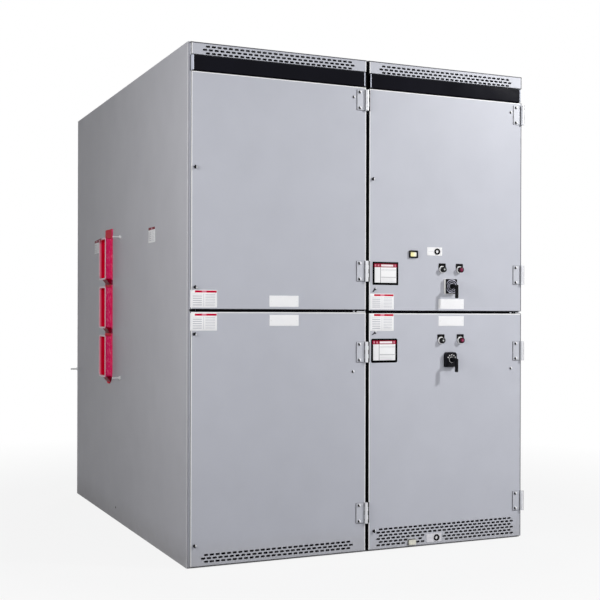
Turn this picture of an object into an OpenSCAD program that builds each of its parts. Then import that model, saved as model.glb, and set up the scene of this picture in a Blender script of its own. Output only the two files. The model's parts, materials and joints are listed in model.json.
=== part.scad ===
// Two-section floor-standing transfer switch cabinet in folded sheet steel.
// Front faces -Y, +X runs to the right along the front, +Z is up.
// The origin is on the floor, in the middle of the frame's footprint. Millimetres.

/* [Overall] */
// Width of one section, side sheet to side sheet
section_w = 914; // [840:1:1200]
// Height from the floor to the top of the roof
frame_h = 2413; // [2000:1:3000]
// Depth of the frame, without the doors and the rear covers
frame_d = 2286; // [1650:1:3000]

/* [Sheet metal] */
// Thickness of the side sheets, roof, posts and rails
sheet_t = 3; // [2:0.5:5]
// Thickness of the floor plate
floor_t = 5; // [4:1:10]
// Crack left between the two bolted sections
section_joint = 0.4; // [0.2:0.1:0.9]
// Width of each post's flange, seen when the doors are open
post_w = 40; // [30:1:60]
// Depth of each post's folded return
post_d = 25; // [15:1:40]
// Height of the mid rail behind the seam between the doors
mid_rail_h = 60; // [40:1:100]
// Height of the head rail behind the black band
head_rail_h = 96; // [60:1:120]
// Height of the sill rail above the floor plate
sill_h = 16; // [10:1:20]
// Depth of each rail's folded leg
rail_leg = 42; // [30:1:60]

/* [Doors] */
// Depth of the folded door pans and header pans
door_t = 25; // [18:1:40]
// Thickness of the door sheet
door_sheet = 2.5; // [1.5:0.5:4]
// Outside bend radius at the edges of the pans
bend_r = 4; // [3:0.5:8]
// Gap from a door's edge to its section's side
door_gap = 7.5; // [6:0.5:12]
// Clearance between a closed door and the frame behind it
door_seat = 1; // [0.5:0.1:2]
// Gap under the lower doors
door_foot = 10; // [6:1:30]
// Height of the middle of the seam between the lower and upper doors
seam_z = 1182; // [900:1:1500]
// Gap between the lower and upper doors
seam_gap = 11; // [6:1:16]

/* [Header] */
// Gap between the top of the upper doors and the black band
header_gap = 5; // [5:1:10]
// Height of the glossy black band
band_h = 68; // [50:1:110]
// How much further in than the doors the band's ends are
band_inset = 6; // [0:1:20]
// Gap between the band and the vented fascia
band_gap = 1.5; // [1:0.5:4]
// Height of the vented fascia
fascia_h = 58; // [52:1:90]
// How much lower the doors and the band hang on the right section than on the left
right_drop = 4; // [0:0.5:8]

/* [Vents] */
// Length of one vent slot
slot_l = 21.5; // [12:0.5:24]
// Height of one vent slot
slot_h = 9.5; // [5:0.5:10]
// Distance between slots along a row
slot_pitch = 28; // [26:0.5:36]
// Distance between rows
slot_row = 15.5; // [12:0.5:20]
// Slots in a full row of the fascias and the left door
slot_count = 28; // [10:1:29]
// Slots in a full row of the right door
right_slot_count = 29; // [10:1:29]
// How far the fascias' slots sit off the middle
fascia_shift = -5; // [-12:1:12]
// How far the left door's slots sit off the middle
left_foot_shift = -8; // [-12:1:12]
// How far the right door's slots sit off the middle
right_foot_shift = -2; // [-12:1:12]
// Height of the fascia's lowest slot row above the fascia's lower edge
fascia_row = 9; // [9:0.5:12]
// Height of the doors' lowest slot row above the floor
foot_row = 30; // [22:1:50]
// Rows of slots in the lower left door
left_foot_rows = 3; // [1:1:6]
// Rows of slots in the lower right door
right_foot_rows = 6; // [3:1:8]

/* [Hinges] */
// Height of each hinge
hinge_h = 101; // [80:1:130]
// Radius of the hinge barrel
barrel_r = 9; // [7:0.5:12]
// Radius of the hinge pin
pin_r = 4; // [3:0.5:5]
// Radial running clearance on the pin
pin_clear = 0.05; // [0.01:0.01:0.1]
// Length of the leaf on the door, from the pin
leaf_w = 54; // [40:1:80]
// Corner radius of the leaf on the door
leaf_r = 4; // [2:0.5:12]
// Thickness of the hinge leaves
leaf_t = 3; // [2:0.5:4]
// Gap between one knuckle and the next
knuckle_gap = 0.5; // [0.3:0.1:1]
// From the top of an upper door to the middle of its top hinge
upper_door_top_hinge = 65; // [65:1:200]
// From the foot of an upper door to the middle of its lower hinge
upper_door_low_hinge = 189; // [80:1:300]
// From the top of a lower door to the middle of its top hinge
lower_door_top_hinge = 195; // [80:1:300]
// From the foot of a lower door to the middle of its lower hinge
lower_door_low_hinge = 186; // [80:1:300]

/* [Rear covers] */
// Depth of the folded rear covers
rear_t = 15; // [10:1:30]
// Gap from a rear cover's edge to its section's side
rear_gap = 5; // [3:0.5:15]

/* [Bus boots] */
// Distance from the frame's front to the front edge of the barrier plate
barrier_y = 1369; // [600:1:1500]
// Height of the barrier plate's lower end
barrier_z = 762; // [300:1:900]
// Width of the barrier plate
barrier_w = 154; // [120:1:200]
// How far the barrier plate stands above the top boot
barrier_over = 50; // [10:1:120]
// Thickness of the barrier plate
barrier_t = 5; // [3:1:8]
// Radius of the hole at the plate's lower end
barrier_hole_r = 6; // [3:0.5:10]
// Distance from one phase to the next
phase_pitch = 279; // [279:1:340]
// Height of the lowest boot's middle
boot_z = 923; // [915:1:1000]
// Height of one boot
boot_h = 241; // [180:1:241]
// Width of one boot
boot_w = 150; // [120:1:180]
// How far a boot stands out from the barrier plate
boot_depth = 38; // [25:1:70]
// Wall of a boot
boot_wall = 5; // [3:0.5:8]
// Width of the rolled lip round a boot's rim
boot_lip = 4; // [2:0.5:5]
// Corner radius of a boot's front corners
boot_front_r = 15; // [14:1:30]
// Corner radius of a boot's rear corners
boot_rear_r = 26; // [14:1:40]
// Height of the chin under a boot
chin_h = 28; // [10:1:30]
// How far a chin stands out at its top
chin_d = 22; // [10:1:25]
// How far the tab on the top boot stands out beyond the rim
tab_out = 24; // [5:1:40]
// Width of the tab on the top boot
tab_w = 36; // [15:1:60]

/* [Joining studs] */
// Radius of the studs that join the next section
stud_r = 5; // [3:0.5:8]
// Length of the studs outside the side sheet
stud_l = 46; // [25:1:80]
// Height of the lower studs
stud_z = 808; // [500:1:1000]
// Height from the lower to the upper stud
stud_rise = 786; // [400:1:1000]
// Distance from the frame's front to the front studs
stud_y = 1188; // [600:1:1300]
// Distance from the frame's rear to the rear stud
stud_rear = 20; // [15:1:100]
// Width across the flats of the stud nuts
nut_af = 17; // [12:1:24]
// Thickness of the stud nuts
nut_t = 8; // [5:1:14]

/* [Control devices] */
// Distance of the switches from the section's left side
control_x = 468; // [300:1:600]
// Distance of the lamps' middle from the section's left side
lamp_x = 475; // [300:1:600]
// Distance between the upper door's two lamps
upper_lamp_pitch = 102; // [80:1:160]
// Distance between the lower door's two lamps
lower_lamp_pitch = 114; // [80:1:160]
// Width of the legend plate above a lamp
legend_w = 41; // [30:1:50]
// How far the legend plate reaches above the lamp's middle
legend_up = 31; // [24:1:45]
// Thickness of the legend plate
legend_t = 2; // [1:0.5:4]
// Radius of a lamp's eight-sided nut
lamp_nut_r = 18; // [15:0.5:20]
// Radius of a lamp's lens
lamp_lens_r = 13.5; // [8:0.5:14]
// How far a lamp stands out from the door
lamp_out = 26; // [20:1:60]
// Height of the upper door's lamps
upper_lamp_z = 1393; // [1300:1:1700]
// Height of the lower door's lamps
lower_lamp_z = 1035; // [700:1:1100]
// Width of a switch's body
plate_w = 65; // [60:1:100]
// Height of a switch's body
plate_h = 76; // [74:1:110]
// How far a switch's body stands out from the door
plate_t = 24; // [14:1:30]
// Radius of the upper corners of the lower switch's body
arch_r = 14; // [6:1:20]
// Height of the raised marks on a switch's face
emboss_t = 2; // [0.5:0.5:3]
// Height of the upper door's switch
upper_switch_z = 1308; // [1250:1:1600]
// Height of the lower door's switch
lower_switch_z = 938; // [600:1:970]
// Radius of a switch's shaft
shaft_r = 6; // [4:0.5:8]
// Radial running clearance on the shaft
shaft_clear = 0.05; // [0.01:0.01:0.1]
// Radius of a switch handle's hub
hub_r = 13; // [10:0.5:18]
// How far a switch handle stands out from the door
handle_out = 76; // [60:1:100]
// Width of a switch handle's grip
grip_w = 11; // [10:1:24]
// Depth of a switch handle's grip, front to back
grip_d = 15; // [12:1:30]
// Length of the grip below the shaft's middle
grip_l = 61; // [40:1:80]
// Height of the grip above the shaft's middle
grip_up = 7; // [6:1:12]
// Gap between the handle and the escutcheon
handle_gap = 0.3; // [0.2:0.1:1]

/* [Small devices] */
// Distance of the indicator window's middle from the section's left side
window_x = 256; // [100:1:400]
// Height of the indicator window
window_z = 1466; // [1300:1:1700]
// Width of the indicator window's bezel
window_w = 48; // [40:1:80]
// Height of the indicator window's bezel
window_h = 37; // [25:1:60]
// How far the bezel stands out from the door
window_t = 9; // [9:1:20]
// Width of the bezel's frame at its sides
window_side = 5; // [3:1:10]
// Width of the bezel's frame above and below the pane
window_frame = 7; // [4:1:10]
// Depth of the pane below the bezel's face
window_deep = 7; // [1:0.5:8]
// Distance of a ring plate's middle from the section's left side
ring_plate_x = 380; // [200:1:600]
// Height of the upper ring plate
ring_plate_z = 1483; // [1300:1:1700]
// Height of the lower ring plate
low_ring_plate_z = 43; // [32:1:60]
// Width of a ring plate
ring_plate_w = 87; // [60:1:120]
// Height of a ring plate
ring_plate_h = 42; // [34:1:60]
// Thickness of a ring plate
ring_plate_t = 2; // [1:0.5:4]
// Distance of the ring from its plate's middle
ring_off = 14; // [0:1:25]
// Outside radius of the ring
ring_r = 15.5; // [10:0.5:16]
// Radius of the ring's hole
ring_hole_r = 9; // [3:0.5:9]
// How far the ring stands out from its plate
ring_t = 4; // [2:1:20]
// Distance of the outlet block's middle from the section's left side
block_x = 251; // [150:1:280]
// Height of the outlet block's middle
block_z = 31; // [24:1:60]
// Width of the outlet block
block_w = 38; // [20:1:50]
// Height of the outlet block
block_h = 24; // [12:1:26]
// Width of the dark rim behind the outlet block
block_rim = 3; // [1:0.5:4]
// Thickness of the dark rim
block_rim_t = 3; // [1:0.5:5]
// How far the outlet block stands out from the door
block_t = 12; // [6:1:30]

/* [Hidden] */
$fn = 48;

paint = "lightslategray";
gloss_black = "black";
moulded_red = "crimson";
bright_metal = "silver";
dark_lens = "darkslategray";
red_lens = "darkred";

LEFT = 0;
RIGHT = 1;

y_front = -frame_d / 2;
y_rear = frame_d / 2;
y_face = y_front - door_t;

door_w = section_w - 2 * door_gap;
cover_h = seam_z - seam_gap / 2 - door_foot;
fascia_top = frame_h - door_gap + sheet_t;
barrier_h = boot_z + 2 * phase_pitch + boot_h / 2 + barrier_over - barrier_z;
boot_inset = boot_lip + boot_wall;
// Least sheet left between a slot and the device beside it.
bare_edge = 1;
// Thickness of the tab on the top boot.
tab_t = 3;
// Where the legend plate's lower edge lies above the lamp's middle.
legend_down = 4;
// Radius of the ball whose cap is the lens, against the lens's own radius.
lens_ball = 4 / 3;
// Corner radius of a switch's body.
plate_r = 5;
// Depth at which the shaft's end sits in the switch's body.
shaft_seat = 4;
// Width of a raised mark on a switch's face.
mark_w = 3;
// A cut or a hidden joint runs on by this much so that faces never just touch.
over = 1;

knuckle_n = 5;
knuckle_h = (hinge_h - (knuckle_n - 1) * knuckle_gap) / knuckle_n;

// Left and right outer faces of a section, with the bolted joint between the two taken off.
function x_left(s) = (s - 1) * section_w + (s == RIGHT ? section_joint / 2 : 0);
function x_right(s) = s * section_w - (s == LEFT ? section_joint / 2 : 0);
// Where a section's own measures along X start.
function x_base(s) = (s - 1) * section_w;
function door_x(s) = x_base(s) + door_gap;
// Heights of a section's door seam, band and fascia; the right section's hang a little lower.
function drop(s) = s == RIGHT ? right_drop : 0;
function lower_door_h(s) = cover_h - drop(s);
function upper_door_z(s) = seam_z + seam_gap / 2 - drop(s);
function fascia_z(s) = fascia_top - fascia_h - drop(s);
function band_z(s) = fascia_z(s) - band_gap - band_h;
function upper_door_h(s) = band_z(s) - header_gap - upper_door_z(s);

// ---------- general shapes ----------

// Outline of a folded pan: its face is at y = 0 and both outer corners are bent to radius r.
module pan_outline(w, d, r) {
    translate([0, r]) square([w, d - r]);
    translate([r, 0]) square([w - 2 * r, d]);
    for (x = [r, w - r]) translate([x, r]) circle(r);
}

// Folded sheet pan with its face towards -Y. It fills w by d by h from the origin.
module pan(w, h, d, t, r) {
    difference() {
        intersection() {
            linear_extrude(h) pan_outline(w, d, r);
            rotate([90, 0, 90]) linear_extrude(w) mirror([1, -1, 0]) pan_outline(h, d, r);
        }
        translate([t, t, t]) cube([w - 2 * t, d, h - 2 * t]);
    }
}

// One vent slot with round ends, cut along Y through a sheet of the given thickness.
module slot(t) {
    half = (slot_l - slot_h) / 2;
    translate([-half, -1, -slot_h / 2]) cube([2 * half, t + 2, slot_h]);
    for (x = [-half, half]) translate([x, -1, 0]) rotate([-90, 0, 0]) cylinder(h = t + 2, r = slot_h / 2);
}

// Rows of slots, every second row short by one and shifted by half a pitch; first_short is 1
// where the lowest row is a short one. A slot whose middle lies inside one of the bare patches
// [x low, x high, z high] is left out.
module slot_field(mid_x, low_z, rows, count, first_short, t, bare = []) {
    for (row = [0 : rows - 1]) {
        n = count - (row + first_short) % 2;
        for (i = [0 : n - 1]) {
            x = mid_x + (i - (n - 1) / 2) * slot_pitch;
            z = low_z + row * slot_row;
            if (len([for (b = bare) if (x > b[0] && x < b[1] && z < b[2]) b]) == 0)
                translate([x, 0, z]) slot(t);
        }
    }
}

// ---------- frame ----------

// Flat side sheet standing on the floor plate between the posts' flanges, inner side at x + sheet_t.
module side_sheet(x) {
    translate([x, y_front + sheet_t, floor_t])
        cube([sheet_t, frame_d - 2 * sheet_t, frame_h - sheet_t - floor_t]);
}

// Post at a section's left side: a flange across the front, folded back at its inner edge.
module post() {
    r = min(bend_r, post_w / 4);
    linear_extrude(frame_h - sheet_t - floor_t) difference() {
        pan_outline(post_w, post_d, r);
        translate([-1, sheet_t]) square([post_w - sheet_t + 1, post_d]);
    }
}

// All four posts of the front; the rear ones are their mirror image.
module posts() {
    for (s = [LEFT, RIGHT]) {
        translate([x_left(s), y_front, floor_t]) post();
        translate([x_right(s), y_front, floor_t]) mirror([1, 0, 0]) post();
    }
}

// Rail between two posts' flanges: a face of height h with a leg folded back at height leg_z.
module rail(s, z, h, leg_z) {
    w = x_right(s) - x_left(s) - 2 * post_w;
    translate([x_left(s) + post_w, y_front, z]) {
        cube([w, sheet_t, h]);
        translate([0, 0, leg_z]) cube([w, rail_leg, sheet_t]);
    }
}

module section_rails(s) {
    rail(s, floor_t, sill_h, 0);
    rail(s, seam_z - mid_rail_h / 2, mid_rail_h, mid_rail_h / 2 - sheet_t);
    rail(s, band_z(LEFT) + band_h - head_rail_h, head_rail_h, 0);
}

module left_side_sheet() { color(paint) side_sheet(x_left(LEFT)); }
module right_side_sheet() { color(paint) side_sheet(x_right(RIGHT) - sheet_t); }
module centre_sheets() {
    color(paint) {
        side_sheet(x_right(LEFT) - sheet_t);
        side_sheet(x_left(RIGHT));
    }
}
module roof(s) {
    color(paint) translate([x_left(s), y_front, frame_h - sheet_t])
        cube([x_right(s) - x_left(s), frame_d, sheet_t]);
}
module floor_plate(s) {
    color(paint) translate([x_left(s), y_front, 0])
        cube([x_right(s) - x_left(s), frame_d, floor_t]);
}
// Shelf that parts the upper from the lower compartment; it rests on the mid rails' legs.
module mid_shelf(s) {
    y = y_front + post_d + 1;
    color(paint) translate([x_left(s) + sheet_t, y, seam_z])
        cube([x_right(s) - x_left(s) - 2 * sheet_t, -2 * y, sheet_t]);
}
module front_posts() { color(paint) posts(); }
module rear_posts() { color(paint) mirror([0, 1, 0]) posts(); }
module front_rails(s) { color(paint) section_rails(s); }
module rear_rails() {
    color(paint) mirror([0, 1, 0]) for (s = [LEFT, RIGHT]) section_rails(s);
}

// Folded cover that closes a section's rear from height z up.
module rear_cover(s, z, h) {
    color(paint) translate([x_right(s) - rear_gap, y_rear + rear_t, z]) rotate([0, 0, 180])
        pan(x_right(s) - x_left(s) - 2 * rear_gap, h, rear_t, door_sheet, bend_r);
}
module lower_rear_cover(s) { rear_cover(s, door_foot, cover_h); }
module upper_rear_cover(s) {
    z = upper_door_z(LEFT);
    rear_cover(s, z, frame_h - sheet_t - rear_gap - z);
}

// ---------- header ----------

// Folded fascia with three rows of vent slots.
module fascia(s) {
    h = fascia_top - fascia_z(s);
    color(paint) translate([door_x(s), y_face, fascia_z(s)]) difference() {
        pan(door_w, h, door_t, door_sheet, bend_r);
        slot_field(door_w / 2 + fascia_shift, fascia_row, 3, slot_count, 1, door_sheet);
    }
}
// Glossy black band: a shallow folded strip under the fascia.
module black_band(s) {
    color(gloss_black) translate([door_x(s) + band_inset, y_face, band_z(s)])
        pan(door_w - 2 * band_inset, band_h, door_t, door_sheet, door_sheet);
}

// ---------- doors ----------

module upper_door(s) {
    color(paint) translate([door_x(s), y_face, upper_door_z(s)])
        pan(door_w, upper_door_h(s), door_t - door_seat, door_sheet, bend_r);
}
// Lower door; its children cut the vent slots at its foot.
module lower_door(s) {
    color(paint) translate([door_x(s), y_face, door_foot]) difference() {
        pan(door_w, lower_door_h(s), door_t - door_seat, door_sheet, bend_r);
        children();
    }
}
module lower_left_door() {
    lower_door(LEFT)
        slot_field(door_w / 2 + left_foot_shift, foot_row - door_foot, left_foot_rows, slot_count, 1,
            door_sheet);
}
// The slots leave two patches bare, for the outlet block and for the ring plate.
module lower_right_door() {
    half_block = block_w / 2 + block_rim + slot_l / 2 + bare_edge;
    half_plate = ring_plate_w / 2 + slot_l / 2 + bare_edge;
    block_mid = block_x - door_gap;
    plate_mid = ring_plate_x - door_gap;
    lower_door(RIGHT)
        slot_field(door_w / 2 + right_foot_shift, foot_row - door_foot, right_foot_rows, right_slot_count, 0,
            door_sheet, [
                [block_mid - half_block, block_mid + half_block,
                    block_z + block_h / 2 + block_rim + slot_h / 2 + bare_edge - door_foot],
                [plate_mid - half_plate, plate_mid + half_plate,
                    low_ring_plate_z + ring_plate_h / 2 + slot_h / 2 + bare_edge - door_foot]
            ]);
}

// ---------- hinges ----------
// A hinge's own frame has the pin's axis at x = y = 0 and its lower end at z = 0.

function knuckle_z(k) = k * (knuckle_h + knuckle_gap);

// Leaf on the door's face with every second knuckle, bored for the pin.
module door_leaf() {
    root = barrel_r + 1;
    difference() {
        union() {
            translate([-leaf_w, barrel_r, 0]) rotate([90, 0, 0]) linear_extrude(leaf_t) {
                translate([leaf_r, 0]) square([leaf_w - root - leaf_r, hinge_h]);
                translate([0, leaf_r]) square([2 * leaf_r, hinge_h - 2 * leaf_r]);
                for (z = [leaf_r, hinge_h - leaf_r]) translate([leaf_r, z]) circle(leaf_r);
            }
            for (k = [0 : 2 : knuckle_n - 1]) translate([0, 0, knuckle_z(k)]) {
                translate([-root - over, barrel_r - leaf_t, 0]) cube([root + over, leaf_t, knuckle_h]);
                cylinder(h = knuckle_h, r = barrel_r);
            }
        }
        translate([0, 0, -over]) cylinder(h = hinge_h + 2 * over, r = pin_r + pin_clear);
    }
}

// Leaf that stands on the frame in the gap beside the door, with the other knuckles and the pin.
module frame_leaf() {
    x = (door_gap - section_joint / 2 - leaf_t) / 2;
    y = barrel_r + 1;
    translate([x, y, 0]) cube([leaf_t, door_t + barrel_r - y, hinge_h]);
    for (k = [1 : 2 : knuckle_n - 1]) translate([0, 0, knuckle_z(k)]) {
        translate([x, 0, 0]) cube([leaf_t, y + over, knuckle_h]);
        cylinder(h = knuckle_h, r = barrel_r);
    }
    cylinder(h = hinge_h, r = pin_r);
}

// Heights of the middles of a section's four hinges, lower door first.
function hinge_mids(s) = [
    door_foot + lower_door_low_hinge,
    door_foot + lower_door_h(s) - lower_door_top_hinge,
    upper_door_z(s) + upper_door_low_hinge,
    upper_door_z(s) + upper_door_h(s) - upper_door_top_hinge
];
module at_hinges(s, which) {
    for (i = which)
        translate([door_x(s) + door_w, y_face - barrel_r, hinge_mids(s)[i] - hinge_h / 2]) children();
}
module frame_hinge_leaves() {
    color(bright_metal) for (s = [LEFT, RIGHT]) at_hinges(s, [0, 1, 2, 3]) frame_leaf();
}
module lower_hinge_leaves(s) { color(bright_metal) at_hinges(s, [0, 1]) door_leaf(); }
module upper_hinge_leaves(s) { color(bright_metal) at_hinges(s, [2, 3]) door_leaf(); }

// ---------- side assembly ----------

// Upright rounded rectangle, w along Y by h up, drawn out along -X. Its front corners have
// radius rf and its rear corners radius rr.
module side_block(w, h, rf, rr, depth) {
    rotate([0, -90, 0]) linear_extrude(depth) {
        translate([0, rf]) square([h, w - rf - rr]);
        translate([rf, 0]) square([h - 2 * rf, rf]);
        translate([rr, w - rr]) square([h - 2 * rr, rr]);
        for (a = [rf, h - rf]) translate([a, rf]) circle(rf);
        for (a = [rr, h - rr]) translate([a, w - rr]) circle(rr);
    }
}

// Flat plate on the side sheet, square above and round below, with a hole at its lower end.
module bus_barrier() {
    r = barrier_w / 2;
    color(moulded_red) translate([-section_w, y_front + barrier_y, barrier_z])
        rotate([0, -90, 0]) linear_extrude(barrier_t) difference() {
            union() {
                translate([r, 0]) square([barrier_h - r, barrier_w]);
                translate([r, r]) circle(r);
            }
            translate([r / 3, r]) circle(barrier_hole_r);
        }
}

// Moulded tray that opens outwards, with a rolled lip round its rim, made smaller by inset
// on every side. It reaches from depth 0 to depth d.
module boot_body(inset, d) {
    translate([0, inset, inset])
        side_block(boot_w - 2 * inset, boot_h - 2 * inset, boot_front_r - inset, boot_rear_r - inset, d);
}
// Wedge that carries the boot's lower wall on the barrier plate.
module boot_chin() {
    w = boot_w - 2 * boot_rear_r;
    translate([0, boot_rear_r + w, boot_inset]) rotate([90, 0, 0]) linear_extrude(w)
        polygon([[0, 0], [-chin_d, 0], [-chin_d, -boot_inset], [0, -boot_inset - chin_h]]);
}
// Thin tab that slopes outwards and down from the upper wall's rim.
module boot_tab() {
    reach = boot_depth + tab_out;
    translate([0, boot_w - boot_rear_r, boot_h - boot_inset]) rotate([90, 0, 0]) linear_extrude(tab_w)
        polygon([
            [-boot_lip, boot_lip], [-boot_depth, boot_inset], [-reach, boot_lip - tab_out / 3],
            [-reach, boot_lip - tab_t - tab_out / 3], [-boot_depth, boot_inset - tab_t], [-boot_lip, 0]
        ]);
}
module bus_boot(i) {
    x = -section_w - barrier_t;
    y = y_front + barrier_y + (barrier_w - boot_w) / 2;
    z = boot_z + i * phase_pitch - boot_h / 2;
    color(moulded_red) translate([x, y, z]) {
        difference() {
            union() {
                boot_body(boot_lip, boot_depth);
                translate([-boot_depth + 2 * boot_lip, 0, 0]) boot_body(0, 2 * boot_lip);
            }
            translate([-boot_wall, 0, 0]) boot_body(boot_inset, boot_depth);
        }
        boot_chin();
        if (i == 2) boot_tab();
    }
}

// Stud through the side sheet with its nut, pointing along -X from the sheet.
module stud() {
    rotate([0, -90, 0]) {
        cylinder(h = stud_l, r = stud_r);
        cylinder(h = nut_t, r = nut_af / sqrt(3), $fn = 6);
    }
}
module joining_studs() {
    color(bright_metal) {
        for (z = [stud_z, stud_z + stud_rise])
            translate([-section_w, y_front + stud_y, z]) stud();
        translate([-section_w, y_rear - stud_rear, stud_z]) stud();
    }
}

// ---------- devices on the right doors ----------

// Moves to a point of the right section's door face; +Y there points out of the cabinet.
module on_door(x, z) {
    translate([x_base(RIGHT) + x, y_face, z]) rotate([0, 0, 180]) children();
}

// Round-cornered block on the door face, w by h, standing out by t; its upper corners may
// have a radius of their own.
module face_block(w, h, r, t, top_r = 0) {
    rt = max(r, top_r);
    translate([0, t, 0]) rotate([90, 0, 0]) linear_extrude(t) {
        translate([-w / 2, r - h / 2]) square([w, h - r - rt]);
        translate([r - w / 2, -h / 2]) square([w - 2 * r, r]);
        translate([rt - w / 2, h / 2 - rt]) square([w - 2 * rt, rt]);
        for (x = [r - w / 2, w / 2 - r]) translate([x, r - h / 2]) circle(r);
        for (x = [rt - w / 2, w / 2 - rt]) translate([x, h / 2 - rt]) circle(rt);
    }
}
// Round boss on the door face, from depth y0 to y1.
module face_disc(r, y0, y1, sides = $fn) {
    translate([0, y0, 0]) rotate([-90, 0, 0]) cylinder(h = y1 - y0, r = r, $fn = sides);
}

// Pilot lamp: legend plate, gasket, eight-sided nut, stepped collar and a domed lens in a dark rim.
module lamp(x, z, lens) {
    nut_out = legend_t + 7;
    rim_out = lamp_out - lamp_lens_r / 3;
    on_door(x, z) {
        color(gloss_black) {
            translate([0, 0, (legend_up + legend_down) / 2])
                face_block(legend_w, legend_up - legend_down, 3, legend_t);
            face_disc(lamp_nut_r + 0.5, 0, legend_t + 1);
            face_disc(lamp_lens_r + 1, nut_out, rim_out);
        }
        color(bright_metal) {
            face_disc(lamp_nut_r, legend_t, nut_out - 2, 8);
            face_disc((lamp_nut_r + lamp_lens_r) / 2 + 1, 0, nut_out);
        }
        color(lens) intersection() {
            translate([0, rim_out - lamp_lens_r, 0]) sphere(lens_ball * lamp_lens_r);
            face_disc(lamp_lens_r - 1, 0, lamp_out);
        }
    }
}

// Switch body: a flange, a deep case and the marks its children raise on the case's face. It is
// bored for the shaft.
module switch_plate(z, top_r) {
    flange_t = plate_t / 4;
    color(gloss_black) on_door(control_x, z) difference() {
        union() {
            face_block(plate_w, plate_h, plate_r, flange_t, top_r);
            face_block(plate_w - 2, plate_h - 2, plate_r - 1, plate_t - emboss_t, top_r - 1);
            intersection() {
                translate([0, plate_t - emboss_t - over, 0]) children();
                face_block(plate_w - 6, plate_h - 6, plate_r - 2, plate_t, top_r - 3);
            }
        }
        translate([0, shaft_seat - over, 0]) face_disc(shaft_r + shaft_clear, 0, plate_t);
    }
}
// Raised rings round the shaft.
module upper_switch_plate() {
    switch_plate(upper_switch_z, plate_r)
        for (r = [2.5, 4, 5.5] * shaft_r) difference() {
            face_disc(r + mark_w / 2, 0, emboss_t + over);
            face_disc(r - mark_w / 2, -over, emboss_t + 2 * over);
        }
}
// A raised ring round the shaft and a fan of raised studs above it.
module lower_switch_plate() {
    switch_plate(lower_switch_z, arch_r) {
        difference() {
            face_disc(2.5 * shaft_r, 0, emboss_t + over);
            face_disc(2.5 * shaft_r - mark_w, -over, emboss_t + 2 * over);
        }
        for (a = [-60 : 30 : 60]) rotate([0, a, 0]) translate([0, 0, 4 * shaft_r])
            face_disc(mark_w, 0, emboss_t + over);
    }
}

// Pistol-grip handle: shaft, hub, neck and a grip that hangs down.
module switch_handle(z) {
    start = plate_t + handle_gap;
    r = grip_w / 2;
    color(gloss_black) on_door(control_x, z) {
        face_disc(shaft_r, shaft_seat, start + over);
        translate([0, start, 0]) rotate([-90, 0, 0]) cylinder(h = grip_d / 2, r = hub_r);
        translate([0, start, 0]) rotate([-90, 0, 0])
            cylinder(h = handle_out - grip_d - start + over, r1 = hub_r, r2 = grip_up);
        translate([0, handle_out, 0]) rotate([90, 0, 0]) linear_extrude(grip_d) {
            translate([0, grip_up - r]) circle(r);
            translate([-r, r - grip_l]) square([grip_w, grip_l - 2 * r + grip_up]);
            translate([0, r - grip_l]) circle(r);
        }
    }
}

// Indicator window: a raised bezel round a deep-set pane.
module indicator_window() {
    color(gloss_black) on_door(window_x, window_z) difference() {
        face_block(window_w, window_h, 3, window_t);
        translate([0, window_t - window_deep, 0])
            face_block(window_w - 2 * window_side, window_h - 2 * window_frame, 1, window_t);
    }
}

// Plain plate with a raised ring socket off its middle.
module ring_plate(z) {
    on_door(ring_plate_x, z) {
        color("white") face_block(ring_plate_w, ring_plate_h, 2, ring_plate_t);
        color(gloss_black) translate([-ring_off, 0, 0]) difference() {
            face_disc(ring_r, 0, ring_plate_t + ring_t);
            face_disc(ring_hole_r, ring_plate_t, ring_plate_t + ring_t + over);
        }
    }
}

// Small moulded block on a dark rim at the door's foot.
module outlet_block() {
    on_door(block_x, block_z) {
        color(gloss_black)
            face_block(block_w + 2 * block_rim, block_h + 2 * block_rim, 2 + block_rim, block_rim_t);
        color("wheat") face_block(block_w, block_h, 2, block_t);
    }
}

// ---------- assembly ----------

left_side_sheet();
centre_sheets();
right_side_sheet();
roof(LEFT);  // left_roof
roof(RIGHT);  // right_roof
floor_plate(LEFT);  // left_floor
floor_plate(RIGHT);  // right_floor
mid_shelf(LEFT);  // left_mid_shelf
mid_shelf(RIGHT);  // right_mid_shelf
front_posts();
rear_posts();
front_rails(LEFT);  // left_front_rails
front_rails(RIGHT);  // right_front_rails
rear_rails();
upper_rear_cover(LEFT);  // left_upper_rear_cover
lower_rear_cover(LEFT);  // left_lower_rear_cover
upper_rear_cover(RIGHT);  // right_upper_rear_cover
lower_rear_cover(RIGHT);  // right_lower_rear_cover
fascia(LEFT);  // left_fascia
fascia(RIGHT);  // right_fascia
black_band(LEFT);  // left_black_band
black_band(RIGHT);  // right_black_band
frame_hinge_leaves();
bus_barrier();
bus_boot(0);  // lower_bus_boot
bus_boot(1);  // middle_bus_boot
bus_boot(2);  // upper_bus_boot
joining_studs();
upper_door(LEFT);  // upper_left_door
lower_left_door();
upper_door(RIGHT);  // upper_right_door
lower_right_door();
upper_hinge_leaves(LEFT);  // upper_left_hinge_leaves
lower_hinge_leaves(LEFT);  // lower_left_hinge_leaves
upper_hinge_leaves(RIGHT);  // upper_right_hinge_leaves
lower_hinge_leaves(RIGHT);  // lower_right_hinge_leaves
indicator_window();
ring_plate(ring_plate_z);  // upper_ring_plate
ring_plate(low_ring_plate_z);  // lower_ring_plate
outlet_block();
lamp(lamp_x - upper_lamp_pitch / 2, upper_lamp_z, dark_lens);  // upper_dark_lamp
lamp(lamp_x + upper_lamp_pitch / 2, upper_lamp_z, red_lens);  // upper_red_lamp
lamp(lamp_x - lower_lamp_pitch / 2, lower_lamp_z, dark_lens);  // lower_dark_lamp
lamp(lamp_x + lower_lamp_pitch / 2, lower_lamp_z, red_lens);  // lower_red_lamp
upper_switch_plate();
lower_switch_plate();
switch_handle(upper_switch_z);  // upper_switch_handle
switch_handle(lower_switch_z);  // lower_switch_handle
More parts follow.
